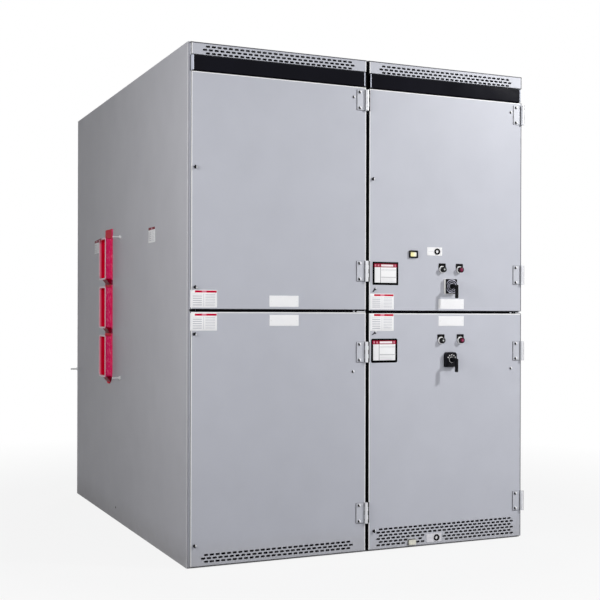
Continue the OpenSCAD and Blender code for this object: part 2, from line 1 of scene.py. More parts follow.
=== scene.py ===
# %% [markdown]
# # A transfer switch cabinet
# Two tall sections of folded sheet steel stand side by side. Each has an upper and a lower door,
# a glossy black strip and a slotted fascia above them, and hinges on the right. The right section
# carries lamps and two turning switches; three red moulded boots sit on the left side.
# The measured steelwork comes in finished as the frame. This lesson gives it paint, plastic and
# metal, and adds the thin things that stand on it: cards, plates, latches, screws and bolts.
# All lengths are metres, the front faces -Y and the floor is at z = 0.

# %% Load the frame and keep its size
import json
import math

import bpy
import numpy as np
from mathutils import Matrix, Vector


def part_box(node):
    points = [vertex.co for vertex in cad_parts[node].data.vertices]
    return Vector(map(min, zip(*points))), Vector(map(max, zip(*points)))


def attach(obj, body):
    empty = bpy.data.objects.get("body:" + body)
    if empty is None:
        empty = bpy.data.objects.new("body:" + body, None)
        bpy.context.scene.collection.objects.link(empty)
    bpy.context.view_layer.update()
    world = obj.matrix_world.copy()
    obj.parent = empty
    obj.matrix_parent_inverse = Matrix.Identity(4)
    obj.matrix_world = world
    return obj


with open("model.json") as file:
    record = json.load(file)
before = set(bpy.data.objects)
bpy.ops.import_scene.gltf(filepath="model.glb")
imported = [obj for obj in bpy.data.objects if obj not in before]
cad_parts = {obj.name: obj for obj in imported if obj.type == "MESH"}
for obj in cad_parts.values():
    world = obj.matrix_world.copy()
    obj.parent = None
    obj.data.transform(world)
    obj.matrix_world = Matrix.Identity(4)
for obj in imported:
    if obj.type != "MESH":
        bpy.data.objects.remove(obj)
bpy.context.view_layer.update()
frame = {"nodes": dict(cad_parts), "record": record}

# %% [markdown]
# ## Where things stand
# Nearly every added piece lies flat on the doors, on the left side or on the rear. A piece is
# therefore drawn once in its own plane, as across, up and out, and a table turns those three
# directions into the room's. The planes come from the boxes of the steelwork, so that a piece
# can't drift away from the face it is fixed to.

# %% The three planes and points on them
MM = 0.001
face_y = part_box("upper_left_door")[0].y
rear_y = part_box("left_upper_rear_cover")[1].y
side_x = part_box("left_side_sheet")[0].x
front_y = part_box("left_floor")[0].y

AXES = {
    "front": np.array([[1, 0, 0], [0, 0, 1], [0, -1, 0]]),
    "left": np.array([[0, -1, 0], [0, 0, 1], [-1, 0, 0]]),
    "rear": np.array([[-1, 0, 0], [0, 0, 1], [0, 1, 0]]),
}


def on_doors(across, up, out=0.0):
    """A point in front of the doors, in mm from the cabinet's left edge, the floor and the face."""
    return (side_x + across * MM, face_y - out * MM, up * MM)


def on_side(back, up, out=0.0):
    """A point on the left side, in mm back from the frame's front, up, and out from the sheet."""
    return (side_x - out * MM, front_y + back * MM, up * MM)


print("door faces at y", round(face_y, 4), "left side at x", round(side_x, 4),
      "rear at y", round(rear_y, 4))

# %% [markdown]
# ## The camera
# The cabinet is seen from a person's chest height, a little to the left of its front, with a lens
# a good deal longer than normal. The camera is level, and the lens is shifted up a little, so that
# upright edges stay upright.

# %% Set the camera
CAMERA_PLACE = (-2.4625, -5.8833, 1.1658)
TURN, ROLL = -24.021, 0.149
LENS, SHIFT_UP = 65.098, 0.0236
camera = bpy.data.objects.new("camera", bpy.data.cameras.new("camera"))
bpy.context.scene.collection.objects.link(camera)
bpy.context.scene.camera = camera
look = Matrix.Rotation(math.radians(TURN), 4, "Z") @ Matrix.Rotation(math.radians(90), 4, "X")
look = look @ Matrix.Rotation(math.radians(ROLL), 4, "Z")
camera.matrix_world = Matrix.Translation(CAMERA_PLACE) @ look
camera.data.sensor_width = 36
camera.data.lens = LENS
camera.data.shift_y = SHIFT_UP
print("camera at", [round(c, 3) for c in camera.matrix_world.translation])

# %% [markdown]
# ## Shader sums
# A material is a little sum: this noise times that, more dirt near the floor, a line here. Drawn
# as a web of nodes it is hard to read, so one class holds a socket and lets Python write the sum.
# `1 - mask` adds a Math node; `mask.pick(a, b)` mixes two colours; `where.node(...)` adds any other
# node, its settings first and then its sockets.

# %% The socket class
class Socket:
    """An output socket of a node tree. Arithmetic on it adds Math nodes to that tree."""

    def __init__(self, tree, socket):
        self.tree, self.socket = tree, socket

    def node(self, kind, settings=None, inputs=None, out=0):
        """Add a node of this kind: settings first, then each socket's value or link."""
        made = self.tree.nodes.new(kind)
        for name, value in (settings or {}).items():
            setattr(made, name, value)
        for key, value in (inputs or {}).items():
            if isinstance(value, Socket):
                self.tree.links.new(value.socket, made.inputs[key])
            else:
                made.inputs[key].default_value = value
        return Socket(self.tree, made.outputs[out] if made.outputs else None)

    def math(self, operation, first, second=0.0):
        """A Math node of this operation on two values."""
        return self.node("ShaderNodeMath", {"operation": operation}, {0: first, 1: second})

    def __add__(self, other):
        return self.math("ADD", self, other)

    def __sub__(self, other):
        return self.math("SUBTRACT", self, other)

    def __rsub__(self, other):
        return self.math("SUBTRACT", other, self)

    def __mul__(self, other):
        return self.math("MULTIPLY", self, other)

    __radd__, __rmul__ = __add__, __mul__

    def most(self, other):
        """The larger of the two, which joins two masks."""
        return self.math("MAXIMUM", self, other)

    def axis(self, index):
        """One coordinate of a vector."""
        return self.node("ShaderNodeSeparateXYZ", None, {0: self}, out=index)

    def vector(self, operation, other, out=0):
        """A Vector Math node of this operation."""
        return self.node("ShaderNodeVectorMath", {"operation": operation}, {0: self, 1: other}, out)

    def above(self, outline_shade, soft=0.0003):
        """0 below the edge and 1 above it, with a ramp as wide as soft between."""
        return self.node("ShaderNodeMapRange", None,
                         {"Value": self, "From Min": outline_shade - soft / 2, "From Max": outline_shade + soft / 2})

    def between(self, low, high, soft=0.0003):
        """1 between low and high, and 0 outside."""
        return self.above(low, soft) * (1 - self.above(high, soft))

    def noise(self, scale, detail=2.0):
        """Noise of about 0.5, with this many grains a metre."""
        return self.node("ShaderNodeTexNoise", None, {"Vector": self, "Scale": scale, "Detail": detail})

    def pick(self, zero, one):
        """Colour zero where this mask is 0, colour one where it is 1."""
        return self.node("ShaderNodeMix", {"data_type": "RGBA"}, {0: self, 6: zero, 7: one}, out=2)

    def off_axis(self, centre):
        """Distance from a line along Y through the centre."""
        flat = self.vector("SUBTRACT", centre).vector("MULTIPLY", (1, 0, 1))
        return flat.vector("LENGTH", (0, 0, 0), out=1)


print("socket class ready")

# %% [markdown]
# ## Colours and the parts of a material
# A colour is easiest to give as it looks on a screen, from 0 to 255, but a node wants it in linear
# light, so one function converts it. Every material starts with the object's own coordinates,
# which move with the piece, and ends in one Principled shader.

# %% Helpers for a material
def shade(red, green, blue):
    """Screen values as a linear colour: c / 12.92 near black, else ((c + 0.055) / 1.055) ** 2.4."""
    c = np.array([red, green, blue]) / 255
    linear = np.where(c <= 0.04045, c / 12.92, ((c + 0.055) / 1.055) ** 2.4)
    return (*linear.tolist(), 1.0)


def begin(name):
    """A new, empty material and its Object coordinates."""
    material = bpy.data.materials.new(name)
    material.use_nodes = True
    material.node_tree.nodes.clear()
    coords = material.node_tree.nodes.new("ShaderNodeTexCoord")
    return material, Socket(material.node_tree, coords.outputs["Object"])


def close(where, inputs, height=None, depth=0.0):
    """End a material in a Principled shader; height, from 0 to 1, raises its surface by depth."""
    if height is not None:
        bump = {"Strength": 1.0, "Distance": depth, "Height": height}
        inputs = {**inputs, "Normal": where.node("ShaderNodeBump", None, bump)}
    shader = where.node("ShaderNodeBsdfPrincipled", None, inputs)
    where.node("ShaderNodeOutputMaterial", None, {"Surface": shader})


print("mid grey 188 is", round(shade(188, 188, 188)[0], 3), "in linear light")

# %% [markdown]
# ## Satin powder paint
# Powder coat is sprayed dry and baked. It flows into a skin with a very fine orange peel, and its
# tone drifts a little from panel to panel. Near the floor it gathers a trace of dust. The drift is
# slow noise in the colour, the orange peel is fine noise in a bump of a few hundredths of a
# millimetre, and the gloss varies a little where hands and cloths have been. The front edge of the
# left side carries a painted highlight, near white.

# %% Mix the paint
SHELL_LIGHT, SHELL_DARK = shade(194, 194, 200), shade(188, 188, 194)


def painted(where, light, dark):
    """Colour and roughness of the paint, which drifts between two near shades."""
    drift = where.noise(0.9, 3) * 0.6 + where.noise(7, 4) * 0.4
    tone = drift.above(0.5, 0.34).pick(dark, light)
    dust = (1 - where.axis(2).above(0.07, 0.14)) * where.noise(24, 5) * 0.5
    return dust.pick(tone, shade(168, 164, 158)), 0.36 + where.noise(3.2, 4) * 0.14 + dust * 0.3


def peel(where):
    """Orange peel: waves of about 3 mm with a trace of finer ones."""
    return where.noise(360, 3) * 0.8 + where.noise(1500, 1) * 0.2


shell_paint, where = begin("shell_paint")
tone, rough = painted(where, SHELL_LIGHT, SHELL_DARK)
# Painted highlight: the front edge of the left side is drawn near white, as its bend catching the light.
corner = (1 - where.axis(1).above(front_y + 7 * MM)) * (1 - where.axis(0).above(side_x + 1.5 * MM))
tone = corner.pick(tone, shade(254, 254, 255))
close(where, {"Base Color": tone, "Roughness": rough, "Specular IOR Level": 0.08}, peel(where), 0.00006)
print("paint", shell_paint.name)

# %% [markdown]
# ## Panels with folds, and a frame drawn black in front
# A door is a folded pan. A painted highlight, near white, runs along the folds round its face, and
# painted shade, near black, lies on the sheet just behind the face, in the slots and at the corners,
# and on the two flanks that meet between the sections. The left section's panels are a shade darker,
# as painted shade. The frame behind the doors is drawn near black on its front face, which with the
# flanks makes the gaps look black. Painted shade also lies on the right doors' fold beside each
# barrel of the left section, and painted shade lines run along the tops of the fascias and the right
# edge of the right section. All are masks by place: how near a point is to the panel's outline, and
# how deep it lies behind the face.

# %% Make the panel and frame finishes
HINGE = 101 * MM
FOLD = 6 * MM
NEAR_BLACK = shade(12, 12, 15)


def panel_finish(node):
    """Door or fascia paint: a painted highlight on folds 6 mm wide round the node's face, painted shade
    behind it.
    """
    low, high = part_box(node)
    material, where = begin(node + "_finish")
    across, depth, up = where.axis(0), where.axis(1) - face_y, where.axis(2)
    inner = across.between(low.x + FOLD, high.x - FOLD, 0.001)
    far_below = low.z - 1.0
    inner = inner * up.between(far_below, high.z - FOLD, 0.001)
    # Painted highlight: the folds round the face are drawn near white.
    painted_fold_highlight = (1 - inner) * (1 - depth.above(0.6 * MM)) * (0.8 + where.noise(60, 3) * 0.4)
    # Painted shade: the left section's panels are drawn five steps darker.
    painted_left_shade = 5 if "left" in node else 0
    tone, rough = painted(where, shade(198 - painted_left_shade, 200 - painted_left_shade, 209 - painted_left_shade),
                          shade(192 - painted_left_shade, 194 - painted_left_shade, 203 - painted_left_shade))
    tone = painted_fold_highlight.pick(tone, shade(255, 255, 255))
    # Painted shade lines along the fascias' tops and the right section's right edge.
    painted_edge_shade = up.above(high.z - (6 if node.endswith("fascia") else 0) * MM)
    painted_edge_shade = painted_edge_shade.most(across.above(high.x - (6.5 if "right" in node else 0) * MM))
    tone = painted_edge_shade.pick(tone, shade(84, 85, 94))
    # Painted shade: the flanks that meet between the sections, and the right doors' fold beside the left
    # barrels.
    painted_gap_shade = (1 - across.math("ABSOLUTE", across).above(11 * MM)) * depth.above(0.5 * MM)
    if "right_door" in node:
        for name in ("upper_left_hinge_leaves", "lower_left_hinge_leaves"):
            foot, top = (corner.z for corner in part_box(name))
            beside = up.between(foot, foot + HINGE).most(up.between(top - HINGE, top))
            painted_gap_shade = painted_gap_shade.most(beside * (1 - across.above(low.x + 5 * MM)))
    # Painted shade: the sheet 0.5 to 3.3 mm behind the face, in slots and on edges, is drawn near black.
    tone = (depth.between(0.5 * MM, 3.3 * MM) * 0.9).most(painted_gap_shade).pick(tone, NEAR_BLACK)
    close(where, {"Base Color": tone, "Roughness": rough, "Specular IOR Level": 0.3}, peel(where), 0.00006)
    return material


black_front_finish, where = begin("black_front_finish")
black_front_reach, black_front_depth = 904 * MM, 0.6 * MM
across = where.axis(0)
# The frame's front face within the sections' width is drawn near black, which makes the gaps look black.
black_front = 1 - across.math("ABSOLUTE", across).above(black_front_reach)
black_front = black_front * (1 - where.axis(1).above(front_y + black_front_depth))
tone, rough = painted(where, SHELL_LIGHT, SHELL_DARK)
close(where, {"Base Color": black_front.pick(tone, NEAR_BLACK), "Roughness": rough + black_front * 0.3,
              "Specular IOR Level": 0.08}, peel(where), 0.00006)

PANELS = ("upper_left_door", "lower_left_door", "upper_right_door", "lower_right_door",
          "left_fascia", "right_fascia")
BLACK_FRONTED = ("front_posts", "left_front_rails", "right_front_rails", "left_mid_shelf", "right_mid_shelf")
panel_finishes = {node: panel_finish(node) for node in PANELS}
panel_finishes.update({node: black_front_finish for node in BLACK_FRONTED})
print("panels", len(PANELS), "sealed", len(BLACK_FRONTED))

# %% [markdown]
# ## Glossy black strip
# The strip above the doors is smooth and almost black, and shows soft reflections. A faint haze
# in the roughness and a very long, shallow wave keep them from looking like a mirror's. Its film
# stops 6 or 7 mm short of each end, where the pale sheet under it shows, and the last 2 mm on the
# right are a darker grey, a painted shade line like the one down the panels' right edge.

# %% Make the black strip
OUTER_END, INNER_END = 7 * MM, 6 * MM
strip_black, where = begin("strip_black")
haze, across = where.noise(5, 4), where.axis(0)
left_low, left_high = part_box("left_black_band")
right_low, right_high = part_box("right_black_band")
film = across.between(left_low.x + OUTER_END, left_high.x - INNER_END, 0.0006)
film = film.most(across.between(right_low.x + INNER_END, right_high.x - OUTER_END, 0.0006))
behind_face = (where.axis(1) - face_y).above(0.5 * MM)
film = film.most(across.above(-0.5) * behind_face)
# Painted shade: the last 2 mm at the right end are drawn darker grey.
pale = across.above(right_high.x - 2 * MM).pick(shade(214, 218, 232), shade(84, 85, 94))
tone = film.pick(pale, haze.pick(shade(6, 6, 13), shade(14, 14, 25)))
close(where, {"Base Color": tone, "Roughness": 0.05 + haze * 0.12, "Specular IOR Level": 0.08},
      where.noise(6, 2), 0.0012)
print("strip", strip_black.name)

# %% [markdown]
# ## Red moulded plastic
# The boots are pressed from red polyester with chopped glass in it. Short fibres show as faint
# lighter flecks, and the skin is half glossy. Stretched noise gives the fibres and a coarser one the
# flow of the resin. The outer rims carry a painted highlight, near white, and a pale pink band of
# painted highlight lies just inside them towards the rear. The tray inside each boot is a deeper red,
# as painted shade, and the tab and the wedges under the boots are dark, as painted shade.

# %% Make the red
BOOTS = ("upper_bus_boot", "middle_bus_boot", "lower_bus_boot")
boot_red, where = begin("boot_red")
fibres = where.vector("MULTIPLY", (1.0, 1.0, 0.22)).noise(260, 4).above(0.6, 0.14)
flow = where.noise(18, 3)
across, rim_x = where.axis(0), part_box("middle_bus_boot")[0].x
# Painted highlight: the outer rims are drawn near white.
rim_highlight = across.between(rim_x - 0.6 * MM, rim_x + 2.4 * MM, 0.0008)
behind = where.axis(1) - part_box("middle_bus_boot")[0].y
# Painted shade: the tray inside each boot is a deeper red.
tray_shade = across.above(rim_x + 11 * MM, 0.004) * behind.above(8 * MM)
# Painted highlight: a pale pink band just inside the rims, towards the rear.
bend_highlight = across.between(rim_x + MM, rim_x + 11 * MM, 0.004) * behind.above(60 * MM)
# Painted shade: the tab and a band under each boot are dark red.
under_shade = 1 - across.above(rim_x - MM)
for name in BOOTS:
    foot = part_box(name)[0].z
    under_shade = under_shade.most(where.axis(2).between(foot - MM, foot + 27 * MM) * 0.9)
red = flow.above(0.5, 0.5).pick(shade(246, 36, 106), shade(254, 48, 120))
red = (fibres * 0.25).pick(red, shade(255, 214, 226))
red = tray_shade.pick(red, flow.above(0.5, 0.5).pick(shade(222, 0, 46), shade(236, 10, 64)))
red = (under_shade * 0.85).pick((bend_highlight * 0.85).pick(red, shade(255, 150, 180)), shade(104, 6, 40))
red = (rim_highlight * 0.92).pick(red, shade(255, 236, 244))
close(where, {"Base Color": red, "Roughness": 0.3 + flow * 0.12, "Specular IOR Level": 0.01},
      fibres * 0.4 + flow * 0.6, 0.00018)
print("red", boot_red.name)

# %% [markdown]
# ## Hinges and bright metal
# The hinge leaves were painted with the doors, but the barrels turn and are rubbed bright. One
# material does both: in front of the leaves' own plane it changes from paint to metal. Painted
# shade, near black, runs along the leaf's outline and where it meets the barrel, and the side of a
# barrel that faces away to the right carries painted shade too.

# %% Make the hinge finish
def hinge_finish(node):
    """Painted leaves with painted shade along their outlines, and bright barrels in front of them."""
    low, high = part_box(node)
    material, where = begin(node + "_finish")
    across, up = where.axis(0), where.axis(2)
    barrel = 1 - where.axis(1).above(face_y - 4.2 * MM, 0.0016)
    rub = where.noise(70, 4)
    # Painted shade along the leaf's outline and where it meets the barrel.
    outline_shade = 1 - across.above(low.x + 2.6 * MM)
    for foot in (low.z, high.z - HINGE):
        outline_shade = outline_shade.most(up.between(foot - MM, foot + 2.4 * MM)).most(
            up.between(foot + HINGE - 1.6 * MM, foot + HINGE + MM) * 0.6)
    outline_shade = outline_shade.most(across.between(low.x + 42 * MM, low.x + 47 * MM)) * (1 - barrel)
    # Painted shade on the side of the barrel that faces away to the right.
    barrel_shade = barrel * across.above(high.x - 5.6 * MM, 0.001) * 0.95
    tone = (outline_shade * 0.75).pick(rub.pick(shade(190, 192, 200), shade(199, 201, 209)), shade(24, 24, 28))
    tone = (barrel * 0.9).pick(tone, shade(236, 237, 240))
    tone = barrel_shade.pick(tone, shade(20, 20, 24))
    close(where, {"Base Color": tone, "Metallic": barrel * rub * 0.4, "Roughness": 0.34 + rub * 0.16},
          where.vector("MULTIPLY", (1, 1, 0.1)).noise(700, 2), 0.00004)
    return material


hinge_finishes = {node: hinge_finish(node) for node in frame["nodes"] if node.endswith("_hinge_leaves")}
print("hinges", sorted(hinge_finishes))

# %% [markdown]
# The bolts, studs and rivets are zinc-plated, with a fine grain and a faint yellow and blue bloom.
# The bloom is slow noise between two near whites, and the grain is fine noise in the roughness and
# the bump. The metal is only partly metallic, so that the white room doesn't wash it out.

# %% Make the bright metal
zinc, where = begin("zinc")
bloom = where.noise(30, 3)
grain = where.noise(900, 2)
close(where, {"Base Color": bloom.pick(shade(234, 233, 228), shade(244, 246, 250)), "Metallic": 0.35,
              "Roughness": 0.3 + grain * 0.16}, grain, 0.00003)
print("bright metal", zinc.name)

# %% [markdown]
# ## Small plastics
# The latches, the switch handles and the window's bezel are black moulded plastic with a very fine
# spark-eroded texture. The latches' collars are dark steel, which looks almost the same here. The
# stops and two of the latches' rivets are a pale plastic of the same grain.

# %% Make the plastics and the dark steel
def moulded(name, light, dark, rough):
    """Moulded plastic with a fine grain and a slight cloud in its colour."""
    material, where = begin(name)
    cloud, grain = where.noise(40, 3), where.noise(1800, 2)
    close(where, {"Base Color": cloud.pick(dark, light), "Roughness": rough + grain * 0.14,
                  "Specular IOR Level": 0.1}, grain, 0.00005)
    return material


black_plastic = moulded("black_plastic", shade(14, 14, 18), shade(6, 6, 9), 0.24)
dark_steel = moulded("dark_steel", shade(46, 46, 52), shade(26, 26, 32), 0.3)
stop_white = moulded("stop_white", shade(224, 225, 230), shade(212, 213, 218), 0.4)
print("plastics", black_plastic.name, dark_steel.name, stop_white.name)

# %% [markdown]
# ## Pilot lamps
# A lamp is one moulded and turned assembly: a black legend plate, a bright eight-sided nut and
# collar, a dark rim, and a lens with fine rings inside that spread the light. They share one
# material that asks two things of a point: how far it is from the lamp's axis, and how far it
# stands out from the door.

# %% Make the lamps
def lamp_finish(node, glass, middle_highlight):
    """Finish of one lamp; glass is the lens's colour, and the third argument a painted highlight in its
    middle.
    """
    low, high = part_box(node)
    material, where = begin(node + "_finish")
    out = face_y - where.axis(1)
    radius = where.off_axis(((low.x + high.x) / 2, 0, low.z + 18.5 * MM))
    metal = out.between(1.4 * MM, 9.3 * MM) * (1 - radius.above(18.3 * MM))
    lens = out.above(21.6 * MM, 0.0002)
    rings = (radius * 2600).math("SINE", radius * 2600)
    black = where.noise(40, 3).pick(shade(2, 2, 4), shade(8, 8, 11))
    body = metal.pick(black, shade(255, 255, 255))
    # Painted highlight: the lens is lighter in its middle, within about 4 mm of its axis.
    tinted = (1 - radius.above(4 * MM, 4 * MM)).pick(glass, middle_highlight)
    close(where, {"Base Color": lens.pick(body, tinted), "Metallic": metal * 0.05, "Specular IOR Level": 0.12,
                  "Roughness": 0.3 - lens * 0.14, "Coat Weight": lens * 0.3},
          lens * (rings * 0.5 + 0.5) + (1 - lens) * where.noise(1500, 1), 0.00008)
    return material


lamp_finishes = {
    "upper_dark_lamp": lamp_finish("upper_dark_lamp", shade(6, 10, 12), shade(206, 208, 206)),
    "lower_dark_lamp": lamp_finish("lower_dark_lamp", shade(6, 10, 12), shade(206, 208, 206)),
    "upper_red_lamp": lamp_finish("upper_red_lamp", shade(96, 0, 44), shade(160, 22, 84)),
    "lower_red_lamp": lamp_finish("lower_red_lamp", shade(92, 0, 40), shade(186, 56, 108)),
}
print("lamps", sorted(lamp_finishes))

# %% [markdown]
# ## Turning switches
# A switch has a deep black body whose raised marks are drawn pale, partly as a painted highlight,
# and on the upper one the back half of the body is drawn near white, a painted highlight. The marks
# are the only part of the body beyond its face, so distance from the door finds them, and noise
# leaves them pale in uneven streaks.

# %% Make the switch bodies
def switch_finish(node, back, mark, mark_cover):
    """Black body with pale raised marks, partly a painted highlight; back, from 0 to 1, is how much painted
    highlight lies on its back half.
    """
    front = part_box(node)[0].y
    material, where = begin(node + "_finish")
    out = face_y - where.axis(1)
    streaks = where.vector("MULTIPLY", (0.3, 1, 1.5)).noise(150, 3)
    # The raised marks are drawn pale in streaks, partly as a painted highlight.
    pale_marks = out.above((face_y - front) - 1.2 * MM) * streaks.above(0.5 - mark_cover, 0.3)
    grain = where.noise(1500, 2)
    black = where.noise(50, 3).pick(shade(4, 4, 8), shade(15, 15, 22))
    # Painted highlight: where back is 1, the body's back half is drawn near white.
    tone = (out.between(0.5 * MM, 14 * MM) * back).pick(pale_marks.pick(black, mark), shade(254, 253, 248))
    close(where, {"Base Color": tone, "Roughness": 0.26 + grain * 0.12, "Specular IOR Level": 0.14},
          grain, 0.00006)
    return material


switch_finishes = {
    "upper_switch_plate": switch_finish("upper_switch_plate", 1.0, shade(222, 222, 240), 0.04),
    "lower_switch_plate": switch_finish("lower_switch_plate", 0.0, shade(255, 255, 255), 0.12),
}
print("switches", sorted(switch_finishes))

# %% [markdown]
# ## Ring plates and the outlet block
# Each ring plate is a thin laminate with a black ring on it and a white dot inside the ring. The
# outlet block is ivory on a dark rim. Again one material per piece tells its parts apart by place.

# %% Make the ring plates and the block
def ring_plate_finish(node, plate):
    """Laminate of the given colour, with a black ring to the right of its middle."""
    low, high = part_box(node)
    material, where = begin(node + "_finish")
    middle = Vector(((low.x + high.x) / 2, 0, (low.z + high.z) / 2))
    out = face_y - where.axis(1)
    ring_right = 14 * MM
    radius = where.off_axis((middle.x + ring_right, 0, middle.z))
    ring = radius.between(7.5 * MM, 15.8 * MM)
    dot = 1 - radius.above(7.5 * MM)
    line = where.axis(2).between(middle.z - 1.1 * MM, middle.z + 1.1 * MM)
    line = line * where.axis(0).between(low.x + 6 * MM, middle.x - 6 * MM)
    cloud = where.noise(60, 4)
    tone = (cloud * 0.06 + line * 0.3).pick(plate, shade(150, 150, 158))
    tone = dot.pick(ring.pick(tone, shade(1, 1, 2)), shade(254, 254, 255))
    close(where, {"Base Color": tone, "Roughness": 0.36 - ring * 0.1 + out * 2, "Specular IOR Level": 0.04},
          where.noise(900, 2), 0.00004)
    return material


block_finish, where = begin("outlet_block_finish")
proud = (face_y - where.axis(1)).above(3.2 * MM)
grain = where.noise(1200, 2)
ivory = where.noise(30, 3).pick(shade(226, 224, 208), shade(238, 236, 224))
close(where, {"Base Color": proud.pick(shade(24, 24, 26), ivory), "Roughness": 0.34 + grain * 0.12},
      grain, 0.00006)

small_finishes = {
    "upper_ring_plate": ring_plate_finish("upper_ring_plate", shade(254, 254, 255)),
    "lower_ring_plate": ring_plate_finish("lower_ring_plate", shade(232, 231, 236)),
    "outlet_block": block_finish,
    "indicator_window": black_plastic,
}
print("small finishes", sorted(small_finishes))

# %% [markdown]
# ## Dress the steelwork
# The record gives every part of the frame a finish by name. Most take the material of that finish,
# and the few with several colours take their own.

# %% Hand out the materials
by_slot = {
    "grey_paint": shell_paint, "gloss_black": strip_black, "hinge_metal": zinc,
    "bright_metal": zinc, "moulded_red": boot_red, "black_plastic": black_plastic,
    "white_plate": black_plastic, "beige_plastic": block_finish,
}
by_node = {**panel_finishes, **hinge_finishes, **lamp_finishes, **switch_finishes, **small_finishes}
for part in frame["record"]["subparts"]:
    node, slot = part["node"], part["material_slot"]
    material = by_node.get(node, by_slot[slot])
    frame["nodes"][node].data.materials.clear()
    frame["nodes"][node].data.materials.append(material)

# %% [markdown]
# ## Closed skins
# A card, a knob, a screw and a wing are all the same kind of shape: a stack of closed rings that
# begins and ends in a single point. If the rings are worked out as one array, the faces follow
# from counting: a quad joins each step of a ring to the same step of the next one, and a fan of
# triangles closes each end. Copies of a small shape are made by adding an array of places.

# %% From rings to a piece
def skin(rings):
    """Vertices, quads and triangles of a stack of rings whose first and last rings are one point.
    Step s of ring r is vertex 1 + r times steps + s. A quad joins steps s and s + 1 of one ring to
    the same steps of the next."""
    body = rings[1:-1]
    count, steps = body.shape[:2]
    verts = np.vstack([rings[0, :1], body.reshape(-1, 3), rings[-1, :1]])
    here = 1 + np.arange(count * steps).reshape(count, steps)
    beside = np.roll(here, -1, axis=1)
    quads = np.stack([here[:-1], beside[:-1], beside[1:], here[1:]], axis=-1).reshape(-1, 4)
    first = np.stack([np.zeros(steps, int), beside[0], here[0]], axis=-1)
    last = np.stack([np.full(steps, len(verts) - 1), here[-1], beside[-1]], axis=-1)
    return verts, quads, np.vstack([first, last])


def piece(name, rings, plane, spots, body, material):
    """Stamp the ringed shape, in mm, at every spot as one object that rides on a body: a vertex is
    the spot plus its across, up and out times the plane's three directions."""
    verts, quads, tris = skin(rings * MM)
    flat = verts[:, :2]
    uv = np.tile((flat - flat.min(0)) / np.ptp(flat, axis=0), (len(spots), 1))
    points = (verts @ AXES[plane])[None] + np.array(spots, float)[:, None]
    shift = (np.arange(len(spots)) * len(verts))[:, None, None]
    faces = (quads + shift).reshape(-1, 4).tolist() + (tris + shift).reshape(-1, 3).tolist()
    mesh = bpy.data.meshes.new(name)
    mesh.from_pydata(points.reshape(-1, 3).tolist(), [], faces)
    corners = np.empty(len(mesh.loops), int)
    mesh.loops.foreach_get("vertex_index", corners)
    mesh.uv_layers.new(name="card").data.foreach_set("uv", uv[corners].ravel())
    mesh.polygons.foreach_set("use_smooth", np.ones(len(mesh.polygons), bool))
    mesh.set_sharp_from_angle(angle=math.radians(32))
    mesh.materials.append(material)
    made = bpy.data.objects.new(name, mesh)
    bpy.context.scene.collection.objects.link(made)
    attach(made, body)
    print(name, "faces", len(faces), "rides on", body)


print("skins ready")

# %% [markdown]
# ## Three ways to draw rings
# A plate's ring is a rectangle with rounded corners, pulled in and moved out from ring to ring. A
# turned piece's ring is a circle, or a polygon with few steps. A pillow is a ball pressed towards a
# box, which suits wings, tabs and lenses.

# %% Rings for plates, turned pieces and pillows
def plate_rings(width, height, corner, layers, steps=7):
    """Each layer (inset, out) is the outline pulled in by inset: the corners' centres plus the
    shrunken radius times (cos a, sin a), with a running through a quarter turn at each corner."""
    a = (np.linspace(0, np.pi / 2, steps) + np.arange(4)[:, None] * np.pi / 2).ravel()
    sign = np.repeat([[1, 1], [-1, 1], [-1, -1], [1, -1]], steps, axis=0)
    layers = np.array([layers[0], *layers, layers[-1]], float)
    radius = np.maximum(corner - layers[:, :1], 0.05)[:, :, None]
    half = np.array([width, height]) / 2 - layers[:, :1]
    flat = sign * (half[:, None] - radius) + radius * np.stack([np.cos(a), np.sin(a)], axis=-1)
    flat[[0, -1]] = 0
    return np.dstack([flat, np.repeat(layers[:, 1:], len(a), axis=1)])


def turned_rings(profile, steps=20):
    """Profile (radius, out) spun about the outward axis: radius times (cos a, sin a) at each out."""
    a = np.arange(steps) * 2 * np.pi / steps
    radius, out = np.array(profile, float).T[:, :, None]
    return np.stack([radius * np.cos(a), radius * np.sin(a), out + 0 * a], axis=-1)


def pillow_rings(half, out, power=0.5, turn=0.0, rows=9, steps=28):
    """Half sizes times sign(c) |c| ** power of the ball's cosines and sines, set out from the face
    by out at its middle and turned by an angle in degrees about the outward axis."""

    def press(value):
        return np.sign(value) * np.abs(value) ** power

    b = np.linspace(-np.pi / 2, np.pi / 2, rows)[:, None]
    a = np.arange(steps) * 2 * np.pi / steps
    x, y = half[0] * press(np.cos(b)) * press(np.cos(a)), half[1] * press(np.cos(b)) * press(np.sin(a))
    c, s = math.cos(math.radians(turn)), math.sin(math.radians(turn))
    return np.stack([x * c - y * s, x * s + y * c, out + half[2] * press(np.sin(b)) + 0 * a], axis=-1)


print("plate", plate_rings(10, 5, 1, [(0, 0), (0, 1)]).shape,
      "turned", turned_rings([(0, 0), (1, 0), (0, 1)]).shape)

# %% [markdown]
# ## Printed cards
# Thin printed cards are stuck to the doors and the side: white, with a red strip along the top and
# pale ruled lines in two columns. Two larger ones have a black border and a dark red head. They are
# kept blank of words. The print follows the card's own UV map, so one material serves every card of
# a kind, and each mark is a box in that map.

# %% Draw with boxes
def card_start(name):
    """A material for cards, with the card's two coordinates from 0 to 1."""
    material, where = begin(name)
    uv = where.node("ShaderNodeUVMap", {"uv_map": "card"})
    return material, where, uv.axis(0), uv.axis(1)


def box(across, up, left, right, low, high, soft=0.012):
    """1 inside a box of the card, and 0 outside."""
    return across.between(left, right, soft) * up.between(low, high, soft)


